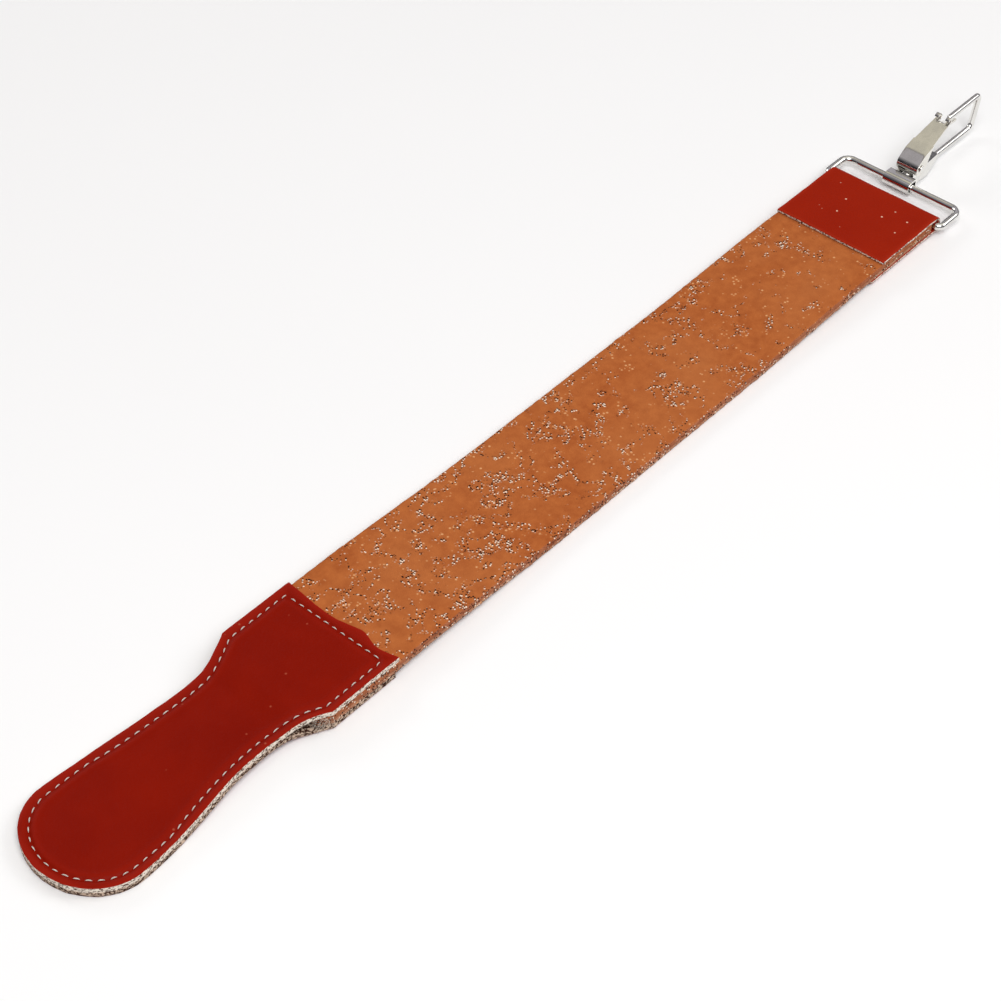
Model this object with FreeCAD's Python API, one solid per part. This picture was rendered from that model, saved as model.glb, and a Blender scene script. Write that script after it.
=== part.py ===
import FreeCAD, Part
import math
import os

# Leather hanging strop: sewn leather paddle handle, long leather strip on a leather backing,
# folded leather tab, rectangular wire ring and a swivelling trigger snap.
# Millimetres. +X runs along the strop towards the snap, +Y is across it, +Z is up.
# It lies flat, with its underside on z = 0 and the origin under the middle of its length.
# Stations along X are first counted from the front edge of the handle's collar.

Vec = FreeCAD.Vector
across = Vec(0, 1, 0)
os.makedirs("parts", exist_ok=True)

# driving dimensions
strip_width = 50.0
leather_thick = 2.5
backing_thick = 1.5
strips_thick = leather_thick + backing_thick
middle_x = 121.35            # middle of the overall length, from the collar's front edge
tall = 30.0                  # more than any height or half width, for cutting right through

# handle
leaf_thick = 1.9
collar_half = 24.8
collar_corner = 1.5
collar_back = -30.0
side_stations = [(-35.5, 21.9), (-43.0, 19.2), (-54.0, 18.3), (-68.0, 19.0), (-88.0, 21.8)]
round_radius = 23.4
round_reach = 20.2           # the round end is a little flattened at its tip
round_centre = -108.6
strips_back = -34.5          # where the strip ends inside the handle
collar_z = 0.4               # underside of the collar, a little above the table
slot_z = collar_z + leaf_thick           # underside of the strip inside the collar
collar_mid = slot_z + strips_thick / 2
lower_front = -2.0           # the lower leaf stops short of the upper one
neck_slope = 0.62            # how far the outline runs inwards where it leaves the collar
gentle_bend = 60.0           # radius of the handle's bends between its round end and its neck
close_bend = 14.0            # radius where the leaves close behind the strip

# seam
seam_inset = 3.2
seam_front = -4.5
thread_radius = 0.42
stitch_length = 2.5
stitch_pitch = 3.7
groove_width = 1.1
groove_top_depth = 0.5
groove_bottom_depth = 0.9

# folded end tab
tab_front = 267.0
tab_lower_front = 260.5
tab_thick = 1.4
tab_half = 24.8
tab_z = 0.5
bar_x = 302.7                # inner bar of the ring, inside the fold
tab_height = strips_thick + 2 * tab_thick
bar_z = tab_z + tab_height / 2
strips_front = 300.2
sag_bend = 400.0             # radius of the strip's long sag between the collar and the tab

# wire ring
wire_radius = 1.5
ring_reach = 13.7            # from the inner bar to the outer bar
ring_half = 27.0
inner_bend = 2.0
outer_bend = 4.0
outer_x = bar_x + ring_reach

# snap
snap_y = 1.8                 # the snap sits a little to one side on its bar
saddle_sheet = 0.9
saddle_half = 6.0
saddle_inner = 1.9           # half of the saddle's inside height
saddle_back = 319.1          # inside face of the saddle's back wall
saddle_corner = 0.4          # inside bend at the back wall
stud_radius = 1.2
stud_clearance = 0.07
stud_head_radius = 1.6
stud_head_thick = 0.8
washer_radius = 2.3
washer_x = saddle_back + saddle_sheet + 0.1
washer_thick = 0.4
base_x = washer_x + washer_thick
base_wall = 1.2
base_half = 3.7
base_top = 7.3
cheek_thick = 1.1
floor_z = 0.9
floor_thick = 1.1
pocket_end = 333.0
taper_x = 331.0              # the base narrows from here
arm_x = 342.0                # to the arm, here
arm_radius = 1.25
arm_z = 2.9
knee = (367.3, arm_z)
nose = (370.45, 17.3)
return_x = 349.2
knee_bend = 3.0
nose_bend = 1.7
pivot = (324.2, 8.2)
boss_radius = 2.1
pin_radius = 0.9
pin_clearance = 0.07
pin_head_radius = 1.5
pin_head_thick = 0.5

# trigger lever
lever_sheet = 0.9
shoulder = 3.3
lever_half = 4.75
lever_tip_half = 3.3
steep_angle = math.radians(33.0)
slight_angle = math.radians(16.5)
facet_x = 326.3
facet_bend = 5.0
lever_end_x = 344.4
ear_gap = 0.15
ear_end = (327.4, 7.0)       # lower front corner of an ear
ear_web = 5.2                # length of the ear along the long facet
tongue_half = 1.3
tongue_gap = 0.3             # between the tongue and the curls
tongue_root = 2.0            # the tongue leaves the sheet this far behind the curls
tongue_step = (348.6, 15.65)
tongue_tip = (352.6, 15.45)
curl_radius = 1.5
curl_sweep = 235.0

# leaf spring and its rivet
spring_sheet = 0.4
spring_half = 2.2
spring_bend = 0.8
spring_foot = 332.0
spring_heel = 325.2
spring_tip = (333.6, 13.9)
rivet_x = 329.6
rivet_radius = 0.7
rivet_head_radius = 1.3
rivet_head_thick = 0.5

# paths in the XZ plane: the faces where the two leaves meet, and the underside of the strip
leaf_low = [(round_centre - tall, leaf_thick), (-95.0, leaf_thick), (-66.0, collar_mid),
            (-45.5, collar_mid), (-36.5, slot_z), (lower_front, slot_z)]
leaf_high = leaf_low[:4] + [(-36.5, slot_z + strips_thick), (0.0, slot_z + strips_thick)]
leaf_bends = [0, gentle_bend, gentle_bend, close_bend, close_bend, 0]
strip_path = [(strips_back, slot_z), (22.0, slot_z), (78.0, 0.0),
              (196.0, 0.0), (246.0, tab_z + tab_thick), (strips_front, tab_z + tab_thick)]
strip_bends = [0, sag_bend, sag_bend, sag_bend, sag_bend, 0]


def at(x, z):
    return Vec(x, 0, z)


def turn_of(a, b, c):
    """Signed turn at b going from a to c, in the XZ plane; positive turns from +X towards +Z."""
    heading = math.atan2(b[1] - a[1], b[0] - a[0])
    onward = math.atan2(c[1] - b[1], c[0] - b[0])
    return (onward - heading + math.pi) % (2 * math.pi) - math.pi


def rounded_edges(points, radii, closed, place):
    """Straight edges through the points with a tangent arc at each corner; place(u, v) gives a 3D point."""
    count = len(points)
    corners = range(count) if closed else range(1, count - 1)
    leave, reach, arcs = list(points), list(points), {}
    for i in corners:
        a, b, c = points[i - 1], points[i], points[(i + 1) % count]
        turn = turn_of(a, b, c)
        cut = radii[i] * abs(math.tan(turn / 2))
        back = ((a[0] - b[0]) / math.dist(a, b), (a[1] - b[1]) / math.dist(a, b))
        ahead = ((c[0] - b[0]) / math.dist(c, b), (c[1] - b[1]) / math.dist(c, b))
        start = (b[0] + cut * back[0], b[1] + cut * back[1])
        end = (b[0] + cut * ahead[0], b[1] + cut * ahead[1])
        side = math.copysign(1.0, turn)
        centre = (start[0] + side * radii[i] * back[1], start[1] - side * radii[i] * back[0])
        span = math.dist(centre, b)
        middle = tuple(centre[k] + (b[k] - centre[k]) * radii[i] / span for k in (0, 1))
        reach[i], leave[i], arcs[i] = start, end, middle
    edges = []
    for i in range(count):
        if i in arcs:
            edges.append(Part.Arc(place(*reach[i]), place(*arcs[i]), place(*leave[i])).toShape())
        following = (i + 1) % count
        if (following or closed) and math.dist(leave[i], reach[following]) > 1e-6:
            edges.append(Part.LineSegment(place(*leave[i]), place(*reach[following])).toShape())
    return edges


def offset_points(points, distance):
    """The points of the polyline moved sideways, to the left of its direction."""
    lines = []
    for a, b in zip(points, points[1:]):
        length = math.dist(a, b)
        normal = (-(b[1] - a[1]) / length, (b[0] - a[0]) / length)
        lines.append([(p[0] + distance * normal[0], p[1] + distance * normal[1]) for p in (a, b)])
    moved = [lines[0][0]]
    for (a, b), (c, d) in zip(lines, lines[1:]):
        ab, cd = (b[0] - a[0], b[1] - a[1]), (d[0] - c[0], d[1] - c[1])
        share = ((c[0] - a[0]) * cd[1] - (c[1] - a[1]) * cd[0]) / (ab[0] * cd[1] - ab[1] * cd[0])
        moved.append((a[0] + share * ab[0], a[1] + share * ab[1]))
    return moved + [lines[-1][1]]


def offset_radii(points, radii, distance):
    """Corner radii of the path moved to its left: tighter on the inside of a bend."""
    moved = list(radii)
    for i in range(1, len(points) - 1):
        turn = turn_of(points[i - 1], points[i], points[i + 1])
        moved[i] = radii[i] - distance * math.copysign(1.0, turn)
    return moved


def band(points, radii, start, end):
    """Face in the XZ plane between two parallels of one path, at the two distances to its left."""
    sides = []
    for distance in (start, end):
        path = offset_points(points, distance)
        sides.append((path, offset_radii(points, radii, distance)))
    edges = []
    for path, bends in sides:
        edges += rounded_edges(path, bends, False, at)
    (first, _), (second, _) = sides
    edges.append(Part.LineSegment(at(*first[0]), at(*second[0])).toShape())
    edges.append(Part.LineSegment(at(*first[-1]), at(*second[-1])).toShape())
    return Part.Face(Part.Wire(Part.__sortEdges__(edges)))


def slab(face, low, high):
    """An XZ face as a solid between two places across the strop."""
    solid = face.extrude(across * (high - low))
    solid.translate(across * low)
    return solid


def polygon(points):
    return Part.Face(Part.makePolygon([at(*p) for p in points + points[:1]]))


def ring_sector(centre, inner, outer, start, sweep):
    """XZ face of part of a ring, angles in degrees from +X towards +Z."""
    def rim(radius, angle):
        turn = math.radians(angle)
        return at(centre[0] + radius * math.cos(turn), centre[1] + radius * math.sin(turn))

    end, half = start + sweep, start + sweep / 2
    edges = [
        Part.Arc(rim(outer, start), rim(outer, half), rim(outer, end)).toShape(),
        Part.LineSegment(rim(outer, end), rim(inner, end)).toShape(),
        Part.Arc(rim(inner, end), rim(inner, half), rim(inner, start)).toShape(),
        Part.LineSegment(rim(inner, start), rim(outer, start)).toShape(),
    ]
    return Part.Face(Part.Wire(edges))


def plan_prism(edges):
    """A tall upright prism over closed edges in the XY plane."""
    face = Part.Face(Part.Wire(Part.__sortEdges__(edges)))
    face.translate(Vec(0, 0, -tall))
    return face.extrude(Vec(0, 0, 3 * tall))


def rod_y(radius, x, z, low, high):
    return Part.makeCylinder(radius, high - low, Vec(x, low, z), across)


def rod_x(radius, start, end):
    return Part.makeCylinder(radius, end - start, Vec(start, snap_y, bar_z), Vec(1, 0, 0))


def handle_plan(inset, front):
    """Closed XY outline of a handle leaf, moved in from its edge by inset, cut square at front."""
    half, radius, reach = collar_half - inset, round_radius - inset, round_reach - inset
    sides = [(collar_back, half)] + [(x, y - inset) for x, y in side_stations]
    edges = []
    for side in (1, -1):
        stations = [Vec(x, side * y, 0) for x, y in sides] + [Vec(round_centre, side * radius, 0)]
        curve = Part.BSplineCurve()
        curve.interpolate(Points=stations, InitialTangent=Vec(-1, -neck_slope * side, 0),
                          FinalTangent=Vec(-1, 0, 0))
        edges.append(curve.toShape())
        edges.append(Part.LineSegment(Vec(collar_back, side * half, 0),
                                      Vec(front - collar_corner, side * half, 0)).toShape())
        corner = Vec(front - collar_corner, side * (half - collar_corner), 0)
        turn = math.sqrt(0.5) * collar_corner
        edges.append(Part.Arc(corner + Vec(0, side * collar_corner, 0),
                              corner + Vec(turn, side * turn, 0),
                              corner + Vec(collar_corner, 0, 0)).toShape())
    edges.append(Part.LineSegment(Vec(front, collar_corner - half, 0),
                                  Vec(front, half - collar_corner, 0)).toShape())
    oval = Part.Ellipse(Vec(round_centre, radius, 0), Vec(round_centre - reach, 0, 0),
                        Vec(round_centre, 0, 0))
    edges.append(Part.Arc(oval, 0, math.pi).toShape())
    return edges


def groove(path, near, far):
    """The seam's groove in a leaf face, between two depths of that leaf."""
    outer = plan_prism(handle_plan(seam_inset - groove_width / 2, seam_front + groove_width / 2))
    inner = plan_prism(handle_plan(seam_inset + groove_width / 2, seam_front - groove_width / 2))
    return slab(band(path, leaf_bends, near, far), -tall, tall).common(outer.cut(inner))


def leaf_height(path, x):
    """Height of a leaf's path at a station."""
    edges = rounded_edges(path, leaf_bends, False, at)
    for edge in edges:
        low, high = edge.BoundBox.XMin, edge.BoundBox.XMax
        if low - 1e-6 <= x <= high + 1e-6:
            upright = Part.makeLine(at(x, -tall), at(x, tall))
            return edge.distToShape(upright)[1][0][0].z
    raise ValueError(f"station {x} is off the handle")


def stitches(path, shift):
    """Separate stitches along the seam, at a height above the leaf's path."""
    seam = Part.Wire(Part.__sortEdges__(handle_plan(seam_inset, seam_front)))
    count = round(seam.Length / stitch_pitch)
    spots = seam.discretize(Number=4 * count + 1)
    made = []
    for i in range(0, 4 * count, 4):
        middle, onward = spots[i], spots[i + 1] - spots[i]
        heading = onward.normalize() * (stitch_length / 2)
        ends = []
        for spot in (middle - heading, middle + heading):
            ends.append(Vec(spot.x, spot.y, leaf_height(path, min(spot.x, path[-1][0])) + shift))
        run = ends[1] - ends[0]
        made.append(Part.makeCylinder(thread_radius, run.Length, ends[0], run))
    return Part.makeCompound(made)


def handle_parts():
    lower_blank = slab(band(leaf_low, leaf_bends, -leaf_thick, 0), -tall, tall)
    upper_blank = slab(band(leaf_high, leaf_bends, 0, leaf_thick), -tall, tall)
    lower = lower_blank.common(plan_prism(handle_plan(0, lower_front)))
    upper = upper_blank.common(plan_prism(handle_plan(0, 0)))
    lower = lower.cut(groove(leaf_low, -2 * leaf_thick, groove_bottom_depth - leaf_thick))
    upper = upper.cut(groove(leaf_high, leaf_thick - groove_top_depth, 2 * leaf_thick))
    return {
        "handle_top_leaf": upper,
        "handle_bottom_leaf": lower,
        "handle_stitches_top": stitches(leaf_high, leaf_thick - groove_top_depth + thread_radius),
        "handle_stitches_bottom": stitches(leaf_low, groove_bottom_depth - leaf_thick - thread_radius),
    }


def strip_parts():
    """Strip and backing, with their back corners trimmed to stay inside the handle's outline."""
    half, trimmed = strip_width / 2, side_stations[0][1]
    corners = [(strips_back, -trimmed), (collar_back, -half), (strips_front, -half),
               (strips_front, half), (collar_back, half), (strips_back, trimmed)]
    plan = [Vec(x, y, 0) for x, y in corners]
    outline = plan_prism(Part.makePolygon(plan + plan[:1]).Edges)
    backing = slab(band(strip_path, strip_bends, 0, backing_thick), -tall, tall)
    leather = slab(band(strip_path, strip_bends, backing_thick, strips_thick), -tall, tall)
    return {"strop_backing": backing.common(outline), "strop_leather": leather.common(outline)}


def tab_part():
    fold = tab_height / 2
    end = bar_x + fold
    path = [(tab_lower_front, tab_z), (end, tab_z), (end, tab_z + tab_height),
            (tab_front, tab_z + tab_height)]
    return slab(band(path, [0, fold, fold, 0], 0, tab_thick), -tab_half, tab_half)


def ring_part():
    """Wire loop of two mirrored halves, each swept from the outer bar's middle to the inner bar's."""
    corners = [(outer_x, 0), (outer_x, ring_half), (bar_x, ring_half), (bar_x, 0)]
    bends = [0, outer_bend, inner_bend, 0]
    edges = rounded_edges(corners, bends, False, lambda u, v: Vec(u, v, bar_z))
    section = Part.Wire(Part.makeCircle(wire_radius, Vec(outer_x, 0, bar_z), across))
    half = Part.Wire(edges).makePipeShell([section], True, False)
    return half.fuse(half.mirror(Vec(0, 0, 0), across)).removeSplitter()


def saddle_part():
    """Sheet loop round the outer bar, with the stud's hole in its back wall."""
    def loop(grow, bend_left, bend_right):
        left, right = outer_x - saddle_inner - grow, saddle_back + grow
        low, high = bar_z - saddle_inner - grow, bar_z + saddle_inner + grow
        corners = [(left, low), (right, low), (right, high), (left, high)]
        bends = [bend_left, bend_right, bend_right, bend_left]
        return Part.Face(Part.Wire(rounded_edges(corners, bends, True, at)))

    nearly_round = saddle_inner - 0.01
    outer = loop(saddle_sheet, nearly_round + saddle_sheet, saddle_corner + saddle_sheet)
    sheet = outer.cut(loop(0, nearly_round, saddle_corner))
    solid = slab(sheet, snap_y - saddle_half, snap_y + saddle_half)
    return solid.cut(rod_x(stud_radius + stud_clearance, saddle_back - 1, washer_x))


def stud_parts():
    head_end = saddle_back - 0.1
    tail = base_x + base_wall
    stud = rod_x(stud_radius, head_end, tail)
    for start in (head_end - stud_head_thick, tail):
        stud = stud.fuse(rod_x(stud_head_radius, start, start + stud_head_thick))
    washer = rod_x(washer_radius, washer_x, base_x).cut(rod_x(stud_radius, washer_x, base_x))
    return {"swivel_stud": stud.removeSplitter(), "swivel_washer": washer}


def hook_part():
    """Channel-shaped base that tapers into the round arm, knee, nose and return."""
    side = polygon([(base_x, floor_z), (pocket_end, floor_z), (arm_x, arm_z - arm_radius),
                    (arm_x, arm_z + arm_radius), (pivot[0] + 2.0, pivot[1] + 0.4),
                    (base_x + base_wall, base_top), (base_x, base_top)])
    block = slab(side, -tall, tall).fuse(rod_y(boss_radius, *pivot, -tall, tall))
    plan = [Vec(x, snap_y + y, 0) for x, y in
            [(base_x, -base_half), (taper_x, -base_half), (arm_x, -arm_radius),
             (arm_x, arm_radius), (taper_x, base_half), (base_x, base_half)]]
    outline = Part.makePolygon(plan + plan[:1]).Edges
    block = block.common(plan_prism(outline))
    inside = base_half - cheek_thick
    pocket = Part.makeBox(pocket_end - base_x - base_wall, 2 * inside, tall,
                          Vec(base_x + base_wall, snap_y - inside, floor_z + floor_thick))
    block = block.cut(pocket)
    root_x = pocket_end + 2.0
    path = [(root_x, arm_z), knee, nose, (return_x, nose[1])]
    edges = rounded_edges(path, [0, knee_bend, nose_bend, 0], False, lambda u, v: Vec(u, snap_y, v))
    section = Part.Wire(Part.makeCircle(arm_radius, Vec(root_x, snap_y, arm_z), Vec(1, 0, 0)))
    arm = Part.Wire(edges).makePipeShell([section], True, False)
    tip = Part.makeSphere(arm_radius, Vec(return_x, snap_y, nose[1]))
    body = block.fuse(arm).fuse(tip)
    body = body.cut(rod_x(stud_radius, base_x, base_x + base_wall))
    body = body.cut(rod_y(pin_radius, *pivot, -tall, tall))
    body = body.cut(Part.makeCylinder(rivet_radius, floor_thick, Vec(rivet_x, snap_y, floor_z)))
    return body.removeSplitter()


def lever_part():
    """Sheet lever: shoulder round the pin, steep facet, long facet, centre tongue and two thumb curls."""
    left = pivot[0] - shoulder
    touch = (pivot[0] - shoulder * math.sin(steep_angle), pivot[1] + shoulder * math.cos(steep_angle))
    facet = (facet_x, touch[1] + (facet_x - touch[0]) * math.tan(steep_angle))
    end = (lever_end_x, facet[1] + (lever_end_x - facet_x) * math.tan(slight_angle))
    lip = (left, pivot[1] - lever_sheet / 2)
    corner = (left, touch[1] - (touch[0] - left) * math.tan(steep_angle))
    top = band([lip, corner, facet, end], [0, shoulder, facet_bend, 0], -lever_sheet, 0)
    past_end = lever_end_x + lever_sheet
    outline = [(left, lever_half), (facet_x, lever_half), (lever_end_x, lever_tip_half),
               (past_end, lever_tip_half)]
    plan = [Vec(x, snap_y + y, 0) for x, y in outline]
    plan += [Vec(x, snap_y - y, 0) for x, y in reversed(outline)]
    sheet = slab(top, -tall, tall).common(plan_prism(Part.makePolygon(plan + plan[:1]).Edges))

    gap = tongue_half + tongue_gap
    slot_x = lever_end_x - tongue_root
    sheet = sheet.cut(Part.makeBox(tall, 2 * gap, tall, Vec(slot_x, snap_y - gap, 0)))
    slope = math.tan(slight_angle)
    root_z = facet[1] + (slot_x - facet_x) * slope
    tongue = band([(slot_x - 1.0, root_z - slope), (slot_x + 0.6, root_z + 0.6 * slope), tongue_step,
                   tongue_tip], [0, 1.2, 2.0, 0], -lever_sheet, 0)
    tongue = slab(tongue, snap_y - tongue_half, snap_y + tongue_half)

    under = (end[0] + lever_sheet * math.sin(slight_angle), end[1] - lever_sheet * math.cos(slight_angle))
    curl = (under[0] - curl_radius * math.sin(slight_angle), under[1] + curl_radius * math.cos(slight_angle))
    roll = ring_sector(curl, curl_radius - lever_sheet, curl_radius,
                       math.degrees(slight_angle) - 90, curl_sweep)
    curls = [slab(roll, snap_y + gap, snap_y + lever_tip_half),
             slab(roll, snap_y - lever_tip_half, snap_y - gap)]

    web = polygon([pivot, touch, facet, (facet_x + ear_web, facet[1] + ear_web * slope), ear_end])
    ear = web.fuse(Part.Face(Part.Wire(Part.makeCircle(shoulder, at(*pivot), across))))
    ear_low = base_half + ear_gap
    ears = [slab(ear, snap_y + ear_low, snap_y + lever_half),
            slab(ear, snap_y - lever_half, snap_y - ear_low)]
    lever = sheet.multiFuse([tongue] + curls + ears)
    return lever.cut(rod_y(pin_radius + pin_clearance, *pivot, -tall, tall)).removeSplitter()


def pin_part():
    """Pivot pin with a peened head outside each ear."""
    reach = lever_half + 0.1
    pin = rod_y(pin_radius, *pivot, snap_y - reach, snap_y + reach)
    for start in (snap_y - reach - pin_head_thick, snap_y + reach):
        pin = pin.fuse(rod_y(pin_head_radius, *pivot, start, start + pin_head_thick))
    return pin.removeSplitter()


def spring_parts():
    """Leaf spring in the channel, with its foot riveted to the floor."""
    top = floor_z + floor_thick + spring_sheet
    path = [(spring_foot, top), (spring_heel, top), spring_tip]
    leaf = slab(band(path, [0, spring_bend, 0], 0, spring_sheet), snap_y - spring_half, snap_y + spring_half)
    rivet = Part.makeCylinder(rivet_radius, top - floor_z, Vec(rivet_x, snap_y, floor_z))
    leaf = leaf.cut(rivet)
    rivet = rivet.fuse(Part.makeCylinder(rivet_head_radius, rivet_head_thick, Vec(rivet_x, snap_y, top)))
    return {"gate_spring": leaf, "spring_rivet": rivet.removeSplitter()}


nodes = {}
nodes.update(handle_parts())
nodes.update(strip_parts())
nodes["end_tab"] = tab_part()
nodes["wire_ring"] = ring_part()
nodes["clip_saddle"] = saddle_part()
nodes.update(stud_parts())
nodes["hook_body"] = hook_part()
nodes["gate_lever"] = lever_part()
nodes["gate_pin"] = pin_part()
nodes.update(spring_parts())

for name, shape in nodes.items():
    shape.translate(Vec(-middle_x, 0, 0))
    shape.exportStep(f"parts/{name}.step")
    box = shape.BoundBox
    print(f"{name:24s} solids {len(shape.Solids):3d} valid {shape.isValid()} volume {shape.Volume:9.1f}"
          f"  x {box.XMin:8.2f} {box.XMax:8.2f}  y {box.YMin:7.2f} {box.YMax:7.2f}"
          f"  z {box.ZMin:6.2f} {box.ZMax:6.2f}")
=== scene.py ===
import bpy, bmesh
import math, random
from mathutils import Matrix, Vector, noise
from mathutils.geometry import interpolate_bezier
from mathutils.kdtree import KDTree


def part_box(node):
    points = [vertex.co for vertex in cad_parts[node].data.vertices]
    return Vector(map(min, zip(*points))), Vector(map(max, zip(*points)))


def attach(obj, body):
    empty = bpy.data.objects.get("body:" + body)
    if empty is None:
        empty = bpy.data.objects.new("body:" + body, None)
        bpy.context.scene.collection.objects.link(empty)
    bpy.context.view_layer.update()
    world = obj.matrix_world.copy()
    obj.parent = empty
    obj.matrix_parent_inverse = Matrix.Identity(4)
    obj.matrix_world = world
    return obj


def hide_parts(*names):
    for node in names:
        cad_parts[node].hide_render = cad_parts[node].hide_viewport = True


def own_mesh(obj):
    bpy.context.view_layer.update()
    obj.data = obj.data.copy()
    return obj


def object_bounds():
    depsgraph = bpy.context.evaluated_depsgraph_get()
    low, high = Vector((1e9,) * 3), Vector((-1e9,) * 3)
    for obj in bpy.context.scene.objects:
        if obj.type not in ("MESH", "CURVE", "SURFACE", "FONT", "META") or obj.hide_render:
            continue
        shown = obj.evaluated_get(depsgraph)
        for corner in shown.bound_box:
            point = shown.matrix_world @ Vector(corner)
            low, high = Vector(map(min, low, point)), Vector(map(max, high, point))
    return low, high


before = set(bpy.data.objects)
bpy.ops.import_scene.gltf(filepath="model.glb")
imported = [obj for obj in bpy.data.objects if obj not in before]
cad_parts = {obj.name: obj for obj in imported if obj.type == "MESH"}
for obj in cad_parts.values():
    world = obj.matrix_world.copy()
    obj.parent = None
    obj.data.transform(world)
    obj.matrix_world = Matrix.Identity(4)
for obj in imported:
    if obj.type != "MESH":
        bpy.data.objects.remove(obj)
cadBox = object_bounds()
mm = 0.001
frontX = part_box("handle_top_leaf")[1].x      # front edge of the handle's collar
deskZ = cadBox[0].z
print("frame loaded")


def nodeSocket(tree, name, kind, inOut, value=None):
    made = tree.interface.new_socket(name=name, in_out=inOut, socket_type=kind)
    if value is not None:
        made.default_value = value


def addNode(tree, kind, x, y, **settings):
    made = tree.nodes.new(kind)
    made.location = (x, y)
    for key, value in settings.items():
        setattr(made, key, value)
    return made


def setInputs(made, **values):
    for key, value in values.items():
        made.inputs[key.replace("_", " ")].default_value = value
    return made


def feed(tree, value, socket):
    if hasattr(value, "is_linked"):
        tree.links.new(value, socket)
    else:
        socket.default_value = value


def calculate(tree, x, y, operation, *values):
    made = addNode(tree, "ShaderNodeMath", x, y, operation=operation)
    for value, socket in zip(values, made.inputs):
        feed(tree, value, socket)
    return made.outputs["Value"]


def makeGrainGroup():
    # leather grain: a soft cloudiness, fine creases and pores, with the height that goes with them
    tree = bpy.data.node_groups.new("leatherGrain", "ShaderNodeTree")
    nodeSocket(tree, "Creases", "NodeSocketFloat", "INPUT", 900.0)
    nodeSocket(tree, "Clouds", "NodeSocketFloat", "INPUT", 60.0)
    nodeSocket(tree, "Cloud", "NodeSocketFloat", "OUTPUT")
    nodeSocket(tree, "Crease", "NodeSocketFloat", "OUTPUT")
    nodeSocket(tree, "Height", "NodeSocketFloat", "OUTPUT")
    start = addNode(tree, "NodeGroupInput", -900, 0)
    end = addNode(tree, "NodeGroupOutput", 500, 0)
    place = addNode(tree, "ShaderNodeTexCoord", -900, 300)
    clouds = setInputs(addNode(tree, "ShaderNodeTexNoise", -600, 300), Detail=4.0, Roughness=0.6)
    creases = addNode(tree, "ShaderNodeTexVoronoi", -600, 0, feature="DISTANCE_TO_EDGE")
    pores = setInputs(addNode(tree, "ShaderNodeTexNoise", -600, -300), Detail=3.0, Roughness=0.7)
    crease = setInputs(addNode(tree, "ShaderNodeMapRange", -300, 0), From_Max=0.18)
    links = tree.links
    for texture in (clouds, creases, pores):
        links.new(place.outputs["Object"], texture.inputs["Vector"])
    links.new(start.outputs["Clouds"], clouds.inputs["Scale"])
    links.new(start.outputs["Creases"], creases.inputs["Scale"])
    links.new(start.outputs["Creases"], pores.inputs["Scale"])
    links.new(creases.outputs["Distance"], crease.inputs["Value"])
    height = calculate(tree, 0, -100, "MULTIPLY_ADD", crease.outputs["Result"], 0.55, pores.outputs["Fac"])
    links.new(clouds.outputs["Fac"], end.inputs["Cloud"])
    links.new(crease.outputs["Result"], end.inputs["Crease"])
    links.new(height, end.inputs["Height"])
    return tree


def makeSpeckGroup():
    # small separate specks, kept where a slow noise lets them through
    tree = bpy.data.node_groups.new("specks", "ShaderNodeTree")
    nodeSocket(tree, "Size", "NodeSocketFloat", "INPUT", 900.0)
    nodeSocket(tree, "Spread", "NodeSocketFloat", "INPUT", 90.0)
    nodeSocket(tree, "Amount", "NodeSocketFloat", "INPUT", 0.5)
    nodeSocket(tree, "Share", "NodeSocketFloat", "INPUT", 0.5)
    nodeSocket(tree, "Vector", "NodeSocketVector", "INPUT")
    nodeSocket(tree, "Speck", "NodeSocketFloat", "OUTPUT")
    start = addNode(tree, "NodeGroupInput", -900, 0)
    end = addNode(tree, "NodeGroupOutput", 700, 0)
    dots = addNode(tree, "ShaderNodeTexVoronoi", -600, 200, feature="F1")
    dot = setInputs(addNode(tree, "ShaderNodeMapRange", -300, 200), From_Min=0.42, From_Max=0.2)
    keep = addNode(tree, "ShaderNodeSeparateColor", -300, 0)
    patches = setInputs(addNode(tree, "ShaderNodeTexNoise", -600, -200), Detail=2.0, Roughness=0.5)
    patch = setInputs(addNode(tree, "ShaderNodeMapRange", -100, -200), From_Min=1.0, From_Max=1.06)
    links = tree.links
    links.new(start.outputs["Vector"], dots.inputs["Vector"])
    links.new(start.outputs["Vector"], patches.inputs["Vector"])
    links.new(start.outputs["Size"], dots.inputs["Scale"])
    links.new(start.outputs["Spread"], patches.inputs["Scale"])
    links.new(dots.outputs["Distance"], dot.inputs["Value"])
    links.new(dots.outputs["Color"], keep.inputs["Color"])
    kept = calculate(tree, -100, 0, "LESS_THAN", keep.outputs["Red"], start.outputs["Share"])
    lift = calculate(tree, -300, -200, "ADD", patches.outputs["Fac"], start.outputs["Amount"])
    links.new(lift, patch.inputs["Value"])
    keptDot = calculate(tree, 200, 100, "MULTIPLY", dot.outputs["Result"], kept)
    links.new(calculate(tree, 400, 0, "MULTIPLY", keptDot, patch.outputs["Result"]), end.inputs["Speck"])
    return tree


grainGroup = makeGrainGroup()
speckGroup = makeSpeckGroup()


def startMaterial(name, roughness, **sockets):
    material = bpy.data.materials.new(name)
    material.use_nodes = True
    tree = material.node_tree
    shader = tree.nodes["Principled BSDF"]
    shader.inputs["Roughness"].default_value = roughness
    for key, value in sockets.items():
        shader.inputs[key.replace("_", " ")].default_value = value
    return material, tree, shader


def useGroup(tree, group, x, y, **values):
    made = addNode(tree, "ShaderNodeGroup", x, y, node_tree=group)
    return setInputs(made, **values)


def mixColour(tree, x, y, amount, under, over):
    made = addNode(tree, "ShaderNodeMix", x, y, data_type="RGBA")
    for socket, value in ((0, amount), (6, under), (7, over)):
        feed(tree, value, made.inputs[socket])
    return made.outputs[2]


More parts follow.
